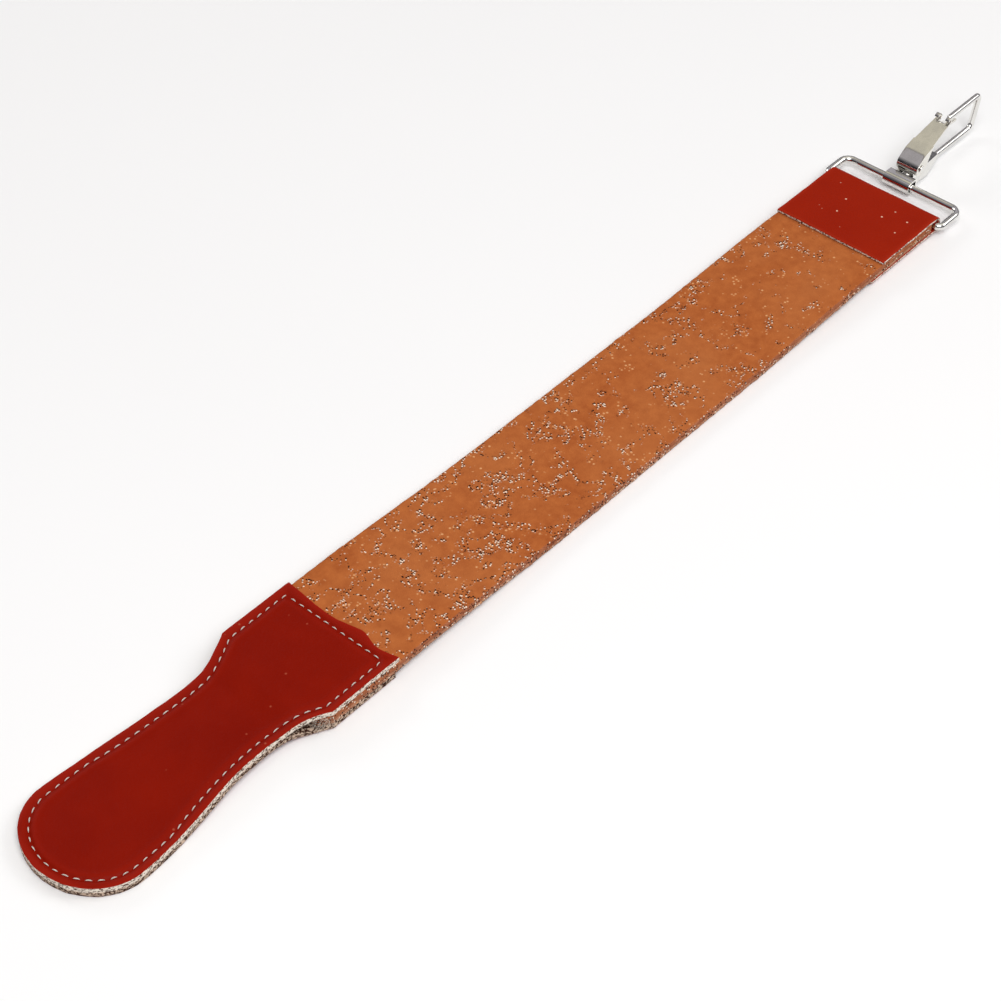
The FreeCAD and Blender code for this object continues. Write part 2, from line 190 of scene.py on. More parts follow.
def rangeOf(tree, x, y, value, low, high, toLow=0.0, toHigh=1.0):
    made = setInputs(addNode(tree, "ShaderNodeMapRange", x, y), From_Min=low, From_Max=high,
                     To_Min=toLow, To_Max=toHigh)
    tree.links.new(value, made.inputs["Value"])
    return made.outputs["Result"]


def addBump(tree, shader, height, strength, distance):
    bump = setInputs(addNode(tree, "ShaderNodeBump", -200, -400), Strength=strength, Distance=distance)
    tree.links.new(height, bump.inputs["Height"])
    tree.links.new(bump.outputs["Normal"], shader.inputs["Normal"])


def makeOxblood(name, colours):
    # smooth dyed leather; the rim colour is a painted highlight, mixed in where the rim attribute marks the
    # edges and the swell beside a seam
    material, tree, shader = startMaterial(name, 0.42, Specular_IOR_Level=0.05)
    grain = useGroup(tree, grainGroup, -900, 200, Creases=1100.0, Clouds=45.0)
    base = mixColour(tree, -600, 300, rangeOf(tree, -750, 300, grain.outputs["Cloud"], 0.3, 0.7),
                     colours["deep"], colours["body"])
    # painted highlight: the rim attribute lightens the colour towards the rim colour
    rim = addNode(tree, "ShaderNodeAttribute", -900, 500, attribute_name="rim")
    base = mixColour(tree, -400, 300, rim.outputs["Fac"], base, colours["rim"])
    place = addNode(tree, "ShaderNodeTexCoord", -1200, 0)
    specks = useGroup(tree, speckGroup, -900, -100, Size=820.0, Spread=110.0, Amount=0.6,
                      Share=colours["specks"])
    tree.links.new(place.outputs["Object"], specks.inputs["Vector"])
    # small light specks mixed into the colour
    base = mixColour(tree, -200, 300, specks.outputs["Speck"], base, colours["scuff"])
    tree.links.new(base, shader.inputs["Base Color"])
    rough = rangeOf(tree, -400, 0, grain.outputs["Height"], 0.2, 1.2, 0.5, 0.36)
    tree.links.new(rough, shader.inputs["Roughness"])
    addBump(tree, shader, grain.outputs["Height"], 0.35, 0.00012)
    return material


def makeCutEdge(name, dent, face, share):
    # raw edge of a leather leaf: compressed fibres, darker in the dents
    material, tree, shader = startMaterial(name, 0.85, Specular_IOR_Level=0.1)
    place = addNode(tree, "ShaderNodeTexCoord", -1100, 0)
    stretch = addNode(tree, "ShaderNodeMapping", -900, 0)
    stretch.inputs["Scale"].default_value = (1.0, 1.0, 1.6)
    fibres = setInputs(addNode(tree, "ShaderNodeTexNoise", -700, 0), Scale=1100.0, Detail=4.0)
    tree.links.new(place.outputs["Object"], stretch.inputs["Vector"])
    tree.links.new(stretch.outputs["Vector"], fibres.inputs["Vector"])
    shade = rangeOf(tree, -500, 0, fibres.outputs["Fac"], share - 0.07, share + 0.07)
    tree.links.new(mixColour(tree, -300, 0, shade, dent, face), shader.inputs["Base Color"])
    addBump(tree, shader, fibres.outputs["Fac"], 0.7, 0.0002)
    return material


def makeSplitLeather(name, look):
    # tan split leather: velvety nap, with chains of small pits and loose pale fibres
    material, tree, shader = startMaterial(name, 0.85, Specular_IOR_Level=0.03, Sheen_Weight=0.03,
                                           Sheen_Roughness=0.5)
    links = tree.links
    place = addNode(tree, "ShaderNodeTexCoord", -2000, 0)
    grain = useGroup(tree, grainGroup, -1200, 600, Creases=1500.0, Clouds=240.0)
    base = mixColour(tree, -900, 600, rangeOf(tree, -1000, 600, grain.outputs["Cloud"], 0.32, 0.68),
                     look["deep"], look["nap"])
    wide = setInputs(addNode(tree, "ShaderNodeTexNoise", -1200, 900), Scale=28.0, Detail=3.0)
    links.new(place.outputs["Object"], wide.inputs["Vector"])
    base = mixColour(tree, -700, 700, rangeOf(tree, -900, 900, wide.outputs["Fac"], 0.4, 0.75, 0.0, 0.5),
                     base, look["worn"])

    # the pits gather along winding chains, more of them near the handle and along the sides
    split = addNode(tree, "ShaderNodeSeparateXYZ", -1800, -200)
    links.new(place.outputs["Object"], split.inputs["Vector"])
    tip = rangeOf(tree, -1600, -200, split.outputs["X"], frontX, frontX + 0.27, look["pitted"], -0.03)
    sideways = calculate(tree, -1600, -400, "ABSOLUTE", split.outputs["Y"])
    edge = rangeOf(tree, -1400, -400, sideways, 0.019, 0.025, 0.0, 0.06)
    chains = setInputs(addNode(tree, "ShaderNodeTexNoise", -1600, -600), Scale=115.0, Detail=2.0,
                       Roughness=0.5, Distortion=0.6)
    links.new(place.outputs["Object"], chains.inputs["Vector"])
    centre = calculate(tree, -1400, -600, "SUBTRACT", chains.outputs["Fac"], 0.5)
    fold = calculate(tree, -1250, -600, "ABSOLUTE", centre)
    ridge = rangeOf(tree, -1100, -600, fold, look["chain"], look["chain"] + 0.05, 1.0, 0.0)
    breaks = setInputs(addNode(tree, "ShaderNodeTexNoise", -1600, -900), Scale=140.0, Detail=1.0)
    shifted = addNode(tree, "ShaderNodeMapping", -1800, -900)
    shifted.inputs["Location"].default_value = (0.4, 0.1, 0.0)
    links.new(place.outputs["Object"], shifted.inputs["Vector"])
    links.new(shifted.outputs["Vector"], breaks.inputs["Vector"])
    root = rangeOf(tree, -1600, 0, split.outputs["X"], frontX, frontX + 0.05, -0.05, 0.0)
    ends = calculate(tree, -1350, -150, "ADD", tip, root)
    amount = calculate(tree, -1200, -300, "ADD", ends, edge)
    total = calculate(tree, -1050, -400, "ADD", amount, breaks.outputs["Fac"])
    mask = calculate(tree, -700, -500, "MULTIPLY", ridge, rangeOf(tree, -900, -400, total, 0.51, 0.59))

    def speckle(y, scale, share, offset):
        # small cells, each kept by chance, that only show inside the chains
        cells = setInputs(addNode(tree, "ShaderNodeTexVoronoi", -900, y, feature="F1"), Scale=scale)
        moved = addNode(tree, "ShaderNodeMapping", -1100, y)
        moved.inputs["Location"].default_value = (offset, offset, 0.0)
        links.new(place.outputs["Object"], moved.inputs["Vector"])
        links.new(moved.outputs["Vector"], cells.inputs["Vector"])
        chance = addNode(tree, "ShaderNodeSeparateColor", -700, y)
        links.new(cells.outputs["Color"], chance.inputs["Color"])
        kept = calculate(tree, -500, y, "LESS_THAN", chance.outputs["Red"], share)
        dot = rangeOf(tree, -500, y + 150, cells.outputs["Distance"], 0.48, 0.3)
        return calculate(tree, -150, y, "MULTIPLY", calculate(tree, -300, y, "MULTIPLY", kept, dot), mask)

    pits = speckle(-800, 1180.0, look["pits"], 0.0)
    fibres = speckle(-1100, 1180.0, look["fibres"], 0.0005)
    base = mixColour(tree, -100, 500, pits, base, (0.02, 0.007, 0.006, 1))
    base = mixColour(tree, 100, 500, fibres, base, (0.95, 0.76, 0.6, 1))
    loose = useGroup(tree, speckGroup, -500, 200, Size=760.0, Spread=160.0, Amount=0.44, Share=0.4)
    links.new(place.outputs["Object"], loose.inputs["Vector"])
    base = mixColour(tree, 300, 500, loose.outputs["Speck"], base, (0.72, 0.36, 0.16, 1))
    links.new(base, shader.inputs["Base Color"])

    relief = calculate(tree, 0, -300, "SUBTRACT", fibres, pits)
    nap = calculate(tree, 150, -300, "MULTIPLY_ADD", grain.outputs["Height"], 0.3, relief)
    addBump(tree, shader, nap, 0.6, 0.00025)
    shader.location = (600, 300)
    tree.nodes["Material Output"].location = (900, 300)
    return material


def makeThread():
    # waxed linen thread: cream, with the twist of its plies along each stitch
    material, tree, shader = startMaterial("waxedThread", 0.6, Specular_IOR_Level=0.35, Sheen_Weight=0.3)
    links = tree.links
    along = addNode(tree, "ShaderNodeUVMap", -1000, 0, uv_map="stitch")
    twist = setInputs(addNode(tree, "ShaderNodeTexWave", -700, 0, wave_type="BANDS",
                              bands_direction="DIAGONAL"), Scale=2.2, Distortion=0.8)
    links.new(along.outputs["UV"], twist.inputs["Vector"])
    soil = addNode(tree, "ShaderNodeTexCoord", -1000, 300)
    patches = setInputs(addNode(tree, "ShaderNodeTexNoise", -700, 300), Scale=260.0, Detail=2.0)
    links.new(soil.outputs["Object"], patches.inputs["Vector"])
    base = mixColour(tree, -400, 200, twist.outputs["Fac"], (0.6, 0.5, 0.4, 1), (0.97, 0.94, 0.88, 1))
    base = mixColour(tree, -200, 200, rangeOf(tree, -400, 400, patches.outputs["Fac"], 0.5, 0.8, 0.0, 0.5),
                     base, (0.72, 0.5, 0.4, 1))
    links.new(base, shader.inputs["Base Color"])
    addBump(tree, shader, twist.outputs["Fac"], 0.6, 0.00015)
    return material


def makeNickel(name, tint, roughness, brush):
    # bright nickel plate: slow ripples, hairline rub marks and duller patches
    material, tree, shader = startMaterial(name, roughness, Metallic=1.0)
    links = tree.links
    place = addNode(tree, "ShaderNodeTexCoord", -1300, 0)
    dull = setInputs(addNode(tree, "ShaderNodeTexNoise", -900, 200), Scale=170.0, Detail=4.0)
    stretch = addNode(tree, "ShaderNodeMapping", -1100, -200)
    stretch.inputs["Scale"].default_value = brush
    hairs = setInputs(addNode(tree, "ShaderNodeTexNoise", -900, -200), Scale=1.0, Detail=3.0)
    links.new(place.outputs["Object"], dull.inputs["Vector"])
    links.new(place.outputs["Object"], stretch.inputs["Vector"])
    links.new(stretch.outputs["Vector"], hairs.inputs["Vector"])
    base = mixColour(tree, -500, 300, rangeOf(tree, -700, 300, dull.outputs["Fac"], 0.35, 0.7),
                     tint, tuple(0.88 * part for part in tint[:3]) + (1,))
    links.new(base, shader.inputs["Base Color"])
    blend = calculate(tree, -600, 0, "MULTIPLY", dull.outputs["Fac"], hairs.outputs["Fac"])
    links.new(rangeOf(tree, -400, 0, blend, 0.1, 0.4, roughness * 0.7, roughness * 1.5),
              shader.inputs["Roughness"])
    addBump(tree, shader, hairs.outputs["Fac"], 0.12, 0.00004)
    return material


# the rim colours below are painted highlights along the edges and beside the seam
oxbloodLeather = makeOxblood("oxbloodLeather", {
    "deep": (0.205, 0.0045, 0.0002, 1), "body": (0.24, 0.0062, 0.0003, 1), "rim": (0.32, 0.012, 0.004, 1),
    "scuff": (0.36, 0.06, 0.03, 1), "specks": 0.004})
tabLeather = makeOxblood("tabLeather", {
    "deep": (0.29, 0.0115, 0.0015, 1), "body": (0.325, 0.0145, 0.002, 1), "rim": (0.38, 0.022, 0.006, 1),
    "scuff": (0.8, 0.5, 0.36, 1), "specks": 0.014})
paleEdge = makeCutEdge("paleEdge", (0.1, 0.04, 0.022, 1), (0.86, 0.77, 0.66, 1), 0.46)
brownEdge = makeCutEdge("brownEdge", (0.05, 0.018, 0.01, 1), (0.66, 0.5, 0.38, 1), 0.52)
splitLeather = makeSplitLeather("splitLeather", {
    "deep": (0.37, 0.092, 0.022, 1), "nap": (0.475, 0.135, 0.034, 1), "worn": (0.5, 0.165, 0.05, 1),
    "pitted": 0.15, "chain": 0.02, "pits": 0.8, "fibres": 0.42})
splitEdge = makeSplitLeather("splitEdge", {
    "deep": (0.27, 0.07, 0.025, 1), "nap": (0.42, 0.14, 0.06, 1), "worn": (0.5, 0.2, 0.1, 1),
    "pitted": 0.3, "chain": 0.2, "pits": 0.5, "fibres": 0.22})
backingLeather = makeSplitLeather("backingLeather", {
    "deep": (0.24, 0.07, 0.028, 1), "nap": (0.36, 0.115, 0.048, 1), "worn": (0.4, 0.16, 0.08, 1),
    "pitted": 0.1, "chain": 0.03, "pits": 0.7, "fibres": 0.3})
backingEdge = makeSplitLeather("backingEdge", {
    "deep": (0.3, 0.11, 0.055, 1), "nap": (0.5, 0.24, 0.14, 1), "worn": (0.6, 0.34, 0.22, 1),
    "pitted": 0.35, "chain": 0.2, "pits": 0.6, "fibres": 0.3})
waxedThread = makeThread()
brightNickel = makeNickel("brightNickel", (0.83, 0.82, 0.79, 1), 0.12, (300.0, 2600.0, 2600.0))
leverNickel = makeNickel("leverNickel", (0.82, 0.8, 0.75, 1), 0.17, (250.0, 4200.0, 2600.0))
print("materials made")


def finishPiece(bm, name, body, node, slot, *materials):
    mesh = bpy.data.meshes.new(name)
    bm.to_mesh(mesh)
    bm.free()
    mesh.polygons.foreach_set("use_smooth", [True] * len(mesh.polygons))
    for material in materials:
        mesh.materials.append(material)
    piece = bpy.data.objects.new(name, mesh)
    bpy.context.scene.collection.objects.link(piece)
    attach(piece, body)
    if node:
        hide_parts(node)
    return piece


def thicken(bm, depth):
    # a second face behind the sheet, joined to it by side walls
    hidden = bmesh.ops.extrude_face_region(bm, geom=bm.faces[:], use_keep_orig=True)
    back = [element for element in hidden["geom"] if isinstance(element, bmesh.types.BMVert)]
    for vert in back:
        vert.co.z = depth
    bmesh.ops.recalc_face_normals(bm, faces=bm.faces[:])
    return back


def roundRims(bm, rims, width, material):
    bmesh.ops.bevel(bm, geom=rims, offset=width, offset_type="OFFSET", segments=3, profile=0.5,
                    affect="EDGES", material=material, clamp_overlap=True)


def paintWalls(bm):
    # the side walls get the second material; the edges where they meet a face are handed back
    for face in bm.faces:
        face.material_index = 1 if abs(face.normal.z) < 0.5 else 0
    return [line for line in bm.edges if len(line.link_faces) == 2
            and len({face.material_index for face in line.link_faces}) == 2]


def ripple(point, size, height):
    # slow unevenness, the same on every run
    return height * noise.noise(Vector(point) / size)


def heightAlong(route, x, soften):
    # height of a run of straight lines at x, with its corners rounded off over the length soften
    total = 0.0
    for step in range(9):
        spot = x + soften * (step / 8 - 0.5)
        below = [p for p in route if p[0] <= spot] or route[:1]
        above = [p for p in route if p[0] > spot] or route[-1:]
        (x0, z0), (x1, z1) = below[-1], above[0]
        total += z0 if x1 == x0 else z0 + (z1 - z0) * min(max((spot - x0) / (x1 - x0), 0), 1)
    return total / 9


def stitchRuns(node):
    # the middle, heading and half length of each stitch of a CAD node, in the same order every time
    bm = bmesh.new()
    bm.from_mesh(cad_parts[node].data)
    bmesh.ops.remove_doubles(bm, verts=bm.verts[:], dist=1e-6)
    bm.verts.index_update()
    seen, runs = [False] * len(bm.verts), []
    for first in bm.verts:
        if seen[first.index]:
            continue
        seen[first.index] = True
        reached = [first]
        for vert in reached:  # the list grows as it is walked
            for edge in vert.link_edges:
                other = edge.other_vert(vert)
                if not seen[other.index]:
                    seen[other.index] = True
                    reached.append(other)
        middle = sum((vert.co for vert in reached), Vector()) / len(reached)
        far = max((vert.co - middle for vert in reached), key=lambda reach: reach.length_squared)
        end = [vert.co - middle for vert in reached if (vert.co - middle).dot(far) > 0]
        heading = (sum(end, Vector()) / len(end)).normalized()
        if heading.x + 0.3 * heading.y < 0:  # either end would do, so one is chosen
            heading.negate()
        runs.append((middle, heading, far.length))
    bm.free()
    return sorted(runs, key=lambda run: (round(run[0].x, 5), run[0].y))


handle = {
    "sides": [(-30.0, 24.8), (-35.5, 21.9), (-43.0, 19.2), (-54.0, 18.3), (-68.0, 19.0), (-88.0, 21.8),
              (-108.6, 23.4)],
    "neckSlope": 0.62,
    "cell": 0.55,             # mesh spacing
    "waistShare": 0.82,       # share of the mesh that lies before the round end
    "thick": 1.9,
    "edgeRound": 0.34,
    "edgeWander": 0.16,       # how far the knife strayed
    "frontWave": 0.4,         # unevenness of both front edges
    "topFront": [(-1.0, 0.0), (-0.7, -1.7), (-0.48, -0.5), (-0.33, 0.7), (-0.2, 0.1), (0.07, -1.5),
                 (0.22, -1.6), (0.62, -1.0), (1.0, 0.0)],       # the upper leaf's front edge, across it
    "straightFront": [(-1.0, 0.0), (1.0, 0.0)],
    "roundReach": 20.2,
    "rimWidth": 3.0,          # how far in from the edge the knife strays and the painted edge highlight reaches
    # painted highlight: how much lighter the leaf's colour is painted along its edge
    "edgeHighlight": 0.8,
    "seamSink": 0.42,
    "seamWidth": 0.75,
    "holeSink": 0.3,
    "holeWidth": 0.5,
    "swell": 0.12,            # leather pushed up beside the seam
    "swellGap": 2.2,
    "swellWidth": 1.2,
    # painted highlight on the swell beside the seam: its strength and its distance from the seam
    "seamHighlight": 0.25,
    "seamHighlightGap": 1.6,
    "meetSoften": 3.5,
    "meetLow": [(-95.0, 1.9), (-66.0, 4.3), (-45.5, 4.3), (-36.5, 2.3)],
    "meetHigh": [(-95.0, 1.9), (-66.0, 4.3), (-45.5, 4.3), (-36.5, 6.3)],
}


def smoothSides():
    # half width of the handle along its waist, as closely spaced (x, y) pairs
    knots = [Vector((x, y, 0)) for x, y in handle["sides"]]
    headings = [Vector((-1, -handle["neckSlope"], 0)).normalized()]
    headings += [(after - before).normalized() for before, after in zip(knots, knots[2:])]
    headings += [Vector((-1, 0, 0))]
    line = []
    for i in range(len(knots) - 1):
        reach = (knots[i + 1] - knots[i]).length / 3
        line += interpolate_bezier(knots[i], knots[i] + headings[i] * reach,
                                   knots[i + 1] - headings[i + 1] * reach, knots[i + 1], 12)[:-1]
    return [(point.x, point.y) for point in line] + [handle["sides"][-1]]


waist = smoothSides()


def halfWidth(x):
    if x >= waist[0][0]:
        return waist[0][1]
    for (x0, y0), (x1, y1) in zip(waist, waist[1:]):
        if x >= x1:
            return y0 + (y1 - y0) * (x - x0) / (x1 - x0)
    return waist[-1][1]


def seamTree(node):
    # every point of the seam, and its needle holes, for measuring distances to them
    runs = stitchRuns(node)
    line, holes = [], []
    for middle, heading, reach in runs:
        near = sorted((run[0] for run in runs), key=lambda other: (other - middle).length_squared)[1:3]
        for other in near:
            line += [middle.lerp(other, step / 12) for step in range(7)]
        holes += [middle + heading * reach * 1.12, middle - heading * reach * 1.12]
    trees = []
    for points in (line, holes):
        tree = KDTree(len(points))
        for i, point in enumerate(points):
            tree.insert((point.x, point.y, 0), i)
        tree.balance()
        trees.append(tree)
    return trees


def mapToHandle(u, v, front):
    # u runs from the front edge, 0, to the round end's tip, 1; v runs across, from -1 to 1
    roundX, roundY = handle["sides"][-1]
    share = handle["waistShare"]
    if u < share:
        x = front + (roundX - front) * u / share
        return x, halfWidth(x) * v
    reach = (u - share) / (1 - share)
    return (roundX - handle["roundReach"] * reach * math.sqrt(1 - v * v / 2),
            roundY * v * math.sqrt(1 - reach * reach / 2))


def makeLeaf(name, stitches, meeting, front, side, edge):
    collarHalf = handle["sides"][0][1]
    length = front - handle["sides"][-1][0] + handle["roundReach"]
    frontLine = handle["topFront"] if side > 0 else handle["straightFront"]
    bm = bmesh.new()
    across = round(2 * collarHalf / handle["cell"])
    along = round(length / handle["cell"])
    bmesh.ops.create_grid(bm, x_segments=along, y_segments=across, size=1.0)
    seam, holes = seamTree(stitches)
    highlightLayer = bm.verts.layers.float.new("rim")
    for vert in bm.verts:
        u, v = (1 - vert.co.x) / 2, vert.co.y
        x, y = mapToHandle(u, v, front)
        frontRim = max(0.0, 1 - (front - x) / handle["rimWidth"])
        rim = max(frontRim, 1 - (1 - abs(v)) * collarHalf / handle["rimWidth"],
                  1 - (1 - u) * length / handle["rimWidth"])
        wander = handle["edgeWander"] * rim * noise.noise(Vector((x / 4, y / 4, side * 7.0)))
        wave = handle["frontWave"] * noise.noise(Vector((y / 7, side * 3.0, 1)))
        x += wander + frontRim * (wave + heightAlong(frontLine, v, 0.1))
        y += math.copysign(wander, y)
        spot = Vector((frontX + x * mm, y * mm, 0))
        gap = seam.find(spot)[2] / mm
        hole = holes.find(spot)[2] / mm
        sink = handle["seamSink"] * math.exp(-(gap / handle["seamWidth"]) ** 2)
        sink += handle["holeSink"] * math.exp(-(hole / handle["holeWidth"]) ** 2)
        swell = handle["swell"] * math.exp(-((gap - handle["swellGap"]) / handle["swellWidth"]) ** 2)
        swell += ripple((x, y, side * 5.0), 14, 0.12)
        vert.co = (spot.x, spot.y, 0)
        vert.co.z = side * (swell - sink) * mm
        # painted highlight along the edge and on the swell beside the seam
        vert[highlightLayer] = min(1.0, handle["edgeHighlight"] * rim
                             + handle["seamHighlight"] * math.exp(-(gap - handle["seamHighlightGap"]) ** 2))
    for vert in thicken(bm, -side * handle["thick"] * mm):
        vert[highlightLayer] = 0.0
    roundRims(bm, paintWalls(bm), handle["edgeRound"] * mm, 0)
    for face in bm.faces:  # the flesh side was never dyed
        if side * face.normal.z < -0.1:
            face.material_index = 1
    for vert in bm.verts:
        x = (vert.co.x - frontX) / mm
        meet = heightAlong(meeting, x, handle["meetSoften"])
        vert.co.z = max(deskZ, vert.co.z + deskZ + (meet + side * handle["thick"]) * mm)
    finishPiece(bm, name, "strop", stitches.replace("stitches_top", "top_leaf")
                .replace("stitches_bottom", "bottom_leaf"), "handle_leather", oxbloodLeather, edge)


makeLeaf("handleTopLeaf", "handle_stitches_top", handle["meetHigh"], 0.0, 1, paleEdge)
makeLeaf("handleBottomLeaf", "handle_stitches_bottom", handle["meetLow"], -2.0, -1, brownEdge)
print("handle leaves made")


stitch = {"length": 2.25, "width": 0.44, "height": 0.42, "slant": 4.0, "dip": 0.35}


def makeStitches(name, node, side):
    dice = random.Random(11 + side)
    bm = bmesh.new()
    uvLayer = bm.loops.layers.uv.new("stitch")
    for middle, heading, _ in stitchRuns(node):
        turn = Matrix.Rotation(math.radians(stitch["slant"] + dice.uniform(-4, 4)), 4, "Z")
        length = stitch["length"] * dice.uniform(0.9, 1.04)
        made = bmesh.ops.create_uvsphere(bm, u_segments=8, v_segments=9, radius=0.5,
                                         matrix=Matrix.Rotation(math.radians(90), 4, "Y"))
        faces = {face for vert in made["verts"] for face in vert.link_faces}
        for face in faces:
            for loop in face.loops:
                spot = loop.vert.co
                loop[uvLayer].uv = (spot.x * 3, math.atan2(spot.z, spot.y) / math.pi)
        for vert in made["verts"]:
            share = 2 * vert.co.x
            full = 1 - 0.25 * share * share
            vert.co.x *= length
            vert.co.y *= stitch["width"] * full
            vert.co.z = vert.co.z * stitch["height"] * full - side * stitch["dip"] * abs(share) ** 3
            vert.co *= mm
        frameOfStitch = heading.to_track_quat("X", "Z").to_matrix().to_4x4()
        bmesh.ops.transform(bm, matrix=Matrix.Translation(middle) @ frameOfStitch @ turn, verts=made["verts"])
    for vert in bm.verts:
        vert.co.z = max(deskZ, vert.co.z)
    bmesh.ops.recalc_face_normals(bm, faces=bm.faces[:])
    finishPiece(bm, name, "strop", node, "thread", waxedThread)


makeStitches("handleStitchesTop", "handle_stitches_top", 1)
makeStitches("handleStitchesBottom", "handle_stitches_bottom", -1)
print("stitches made")


strip = {
    "sag": [(-34.5, 2.3), (22.0, 2.3), (78.0, 0.0), (196.0, 0.0), (246.0, 1.9), (300.2, 1.9)],
    "sagSoften": 16.5,
    "backing": 1.5,
    "leather": 2.5,
    "trim": [(-34.5, 0.876), (-30.0, 1.0)],       # share of the width left at the trimmed back corners
    "cell": 1.1,
    "trimSoften": 0.5,
    "rimWidth": 3.0,
    "edgeRound": 0.5,
}


def makeStripLayer(name, node, low, thick, waves, slot, materials):
    nearCorner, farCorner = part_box(node)
    length, width = farCorner.x - nearCorner.x, farCorner.y - nearCorner.y
    cell = strip["cell"] * mm
    bm = bmesh.new()
    bmesh.ops.create_grid(bm, x_segments=round(length / cell), y_segments=round(width / cell), size=0.5)
    bmesh.ops.scale(bm, vec=(length, width, 1), verts=bm.verts[:])
    bmesh.ops.translate(bm, vec=(nearCorner + farCorner) * 0.5, verts=bm.verts[:])
    for vert in bm.verts:
        vert.co.z = 0
        inMm = vert.co / mm
        vert.co.y *= heightAlong(strip["trim"], (vert.co.x - frontX) / mm, strip["trimSoften"])
        nearSide = max(0.0, 1 - (width / 2 / mm - abs(inMm.y)) / strip["rimWidth"])
        wave = waves["side"] * mm * nearSide
        vert.co.y += math.copysign(wave * noise.noise(inMm / 5), vert.co.y) - math.copysign(
            wave * 0.5, vert.co.y)
        vert.co.z = thick * mm + waves["top"] * mm * noise.noise(inMm / 11)
    thicken(bm, 0)
    paintWalls(bm)
    rims = [edge for edge in bm.edges if len(edge.link_faces) == 2
            and edge.link_faces[0].normal.dot(edge.link_faces[1].normal) < 0.5]
    roundRims(bm, rims, min(strip["edgeRound"], thick * 0.3) * mm, -1)
    for vert in bm.verts:
        x = (vert.co.x - frontX) / mm
        vert.co.z += deskZ + (low + heightAlong(strip["sag"], x, strip["sagSoften"])) * mm
    finishPiece(bm, name, "strop", node, slot, *materials)


makeStripLayer("stropLeather", "strop_leather", strip["backing"], strip["leather"],
               {"side": 0.3, "top": 0.16}, "strop_leather", [splitLeather, splitEdge])
makeStripLayer("stropBacking", "strop_backing", 0.0, strip["backing"],
               {"side": 0.5, "top": 0.0}, "backing_leather", [backingLeather, backingEdge])


fray = {"fibres": 60, "radius": 0.1, "reach": 4.4, "curl": 0.5, "steps": 6, "taper": 0.85,
        "alongX": (0.2, 4.6), "alongY": (21.7, 2.9), "heights": (2.6, 6.0)}   # where the fibres are rooted


def makeFray():
    # loose fibres of the strip's trimmed corner, where the collar runs into the neck
    dice = random.Random(5)
    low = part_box("strop_leather")[0]
    bm = bmesh.new()
    for count in range(fray["fibres"]):
        share = dice.random()
        start = Vector((low.x + (fray["alongX"][0] + fray["alongX"][1] * share) * mm,
                        -(fray["alongY"][0] + fray["alongY"][1] * share) * mm,
                        deskZ + dice.uniform(*fray["heights"]) * mm))
        heading = Vector((-1, dice.uniform(-0.7, 0.3), dice.uniform(-0.4, 0.25))).normalized()
        ends = bmesh.ops.create_circle(bm, cap_ends=True, radius=fray["radius"] * mm, segments=5)["verts"]
        matrix = Matrix.Translation(start) @ heading.to_track_quat("Z", "Y").to_matrix().to_4x4()
        bmesh.ops.transform(bm, matrix=matrix, verts=ends)
        tip = next(iter(ends[0].link_faces))
        for step in range(fray["steps"]):
            grown = bmesh.ops.extrude_face_region(bm, geom=[tip])["geom"]
            tip = next(element for element in grown if isinstance(element, bmesh.types.BMFace))
            sway = Vector([dice.uniform(-1, 1) for axis in range(3)]) * fray["curl"]
            heading = (heading + sway).normalized()
            bmesh.ops.translate(bm, vec=heading * fray["reach"] / fray["steps"] * mm * dice.uniform(0.4, 1),
                                verts=tip.verts[:])
            middle = tip.calc_center_median()
            bmesh.ops.scale(bm, vec=[fray["taper"]] * 3, space=Matrix.Translation(-middle), verts=tip.verts[:])
    bmesh.ops.recalc_face_normals(bm, faces=bm.faces[:])
    for vert in bm.verts:
        vert.co.z = max(deskZ, vert.co.z)
    finishPiece(bm, "looseFibres", "strop", None, "strop_leather", paleEdge)


makeFray()
print("strip made")


tab = {
    "thick": 1.4,
    "half": 24.8,
    "low": 0.5,
    "topFront": 267.0,
    "lowFront": 260.5,
    "foldX": 302.7,
    "foldOuter": 3.4,
    "cellsAlong": 110,
    "cellsAcross": 42,
    "edgeRound": 0.32,
    "crown": 0.14,
    "rimWidth": 2.5,
    "endWave": 0.22,
    "sideWave": 0.15,
    "tint": 0.8,              # how much lighter the rim is painted, a painted highlight along the tab's edges
    "highlightWidth": 1.6,
}


